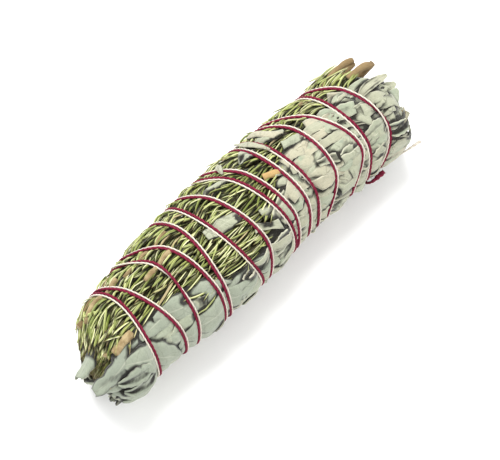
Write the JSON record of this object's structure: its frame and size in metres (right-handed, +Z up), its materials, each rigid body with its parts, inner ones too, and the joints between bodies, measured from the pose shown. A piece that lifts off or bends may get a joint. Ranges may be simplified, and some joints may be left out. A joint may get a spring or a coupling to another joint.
{
  "type": "sage smudge stick",
  "caption": "Dried bundle of white sage and rosemary sprigs, lying on its side, bound along its whole length by a crimson and a cream thread wound on together",
  "frame": {"origin": "middle of the footprint, on the surface that the bundle lies on", "axes": "+X along the bundle from its leaf-tip end to its cut-stem end, +Z up; the rosemary is on the +Y side and on top, and the sage on the -Y side and underneath"},
  "size_m": [0.1996, 0.0608, 0.0539],
  "materials": {
    "rosemary_leaf": "dry, leathery, matt",
    "rosemary_bark": "dry, flaking bark, matt",
    "sage_leaf": "velvety, fine-haired, matt",
    "sage_stem": "dry, finely ridged, matt",
    "crimson_thread": "twisted cotton, matt",
    "cream_thread": "twisted cotton, matt"
  },
  "bodies": {
    "root": {"rosemary_needles_1": "rosemary_leaf", "rosemary_needles_2": "rosemary_leaf", "rosemary_needles_3": "rosemary_leaf", "rosemary_needles_4": "rosemary_leaf", "rosemary_needles_5": "rosemary_leaf", "rosemary_stem_1": "rosemary_bark", "rosemary_stem_2": "rosemary_bark", "rosemary_stem_3": "rosemary_bark", "rosemary_stem_4": "rosemary_bark", "rosemary_stem_5": "rosemary_bark", "sage_leaves_1": "sage_leaf", "sage_leaves_2": "sage_leaf", "sage_leaves_3": "sage_leaf", "sage_leaves_4": "sage_leaf", "sage_leaves_5": "sage_leaf", "sage_leaves_6": "sage_leaf", "sage_leaves_7": "sage_leaf", "sage_stem_1": "sage_stem", "sage_stem_2": "sage_stem", "sage_stem_3": "sage_stem", "sage_stem_4": "sage_stem", "sage_stem_5": "sage_stem", "sage_stem_6": "sage_stem", "sage_stem_7": "sage_stem", "loose_sage_leaf_1": "sage_leaf", "loose_sage_leaf_2": "sage_leaf", "loose_sage_leaf_3": "sage_leaf", "loose_sage_leaf_4": "sage_leaf", "thread_crimson": "crimson_thread", "thread_cream": "cream_thread"}
  },
  "joints": []
}
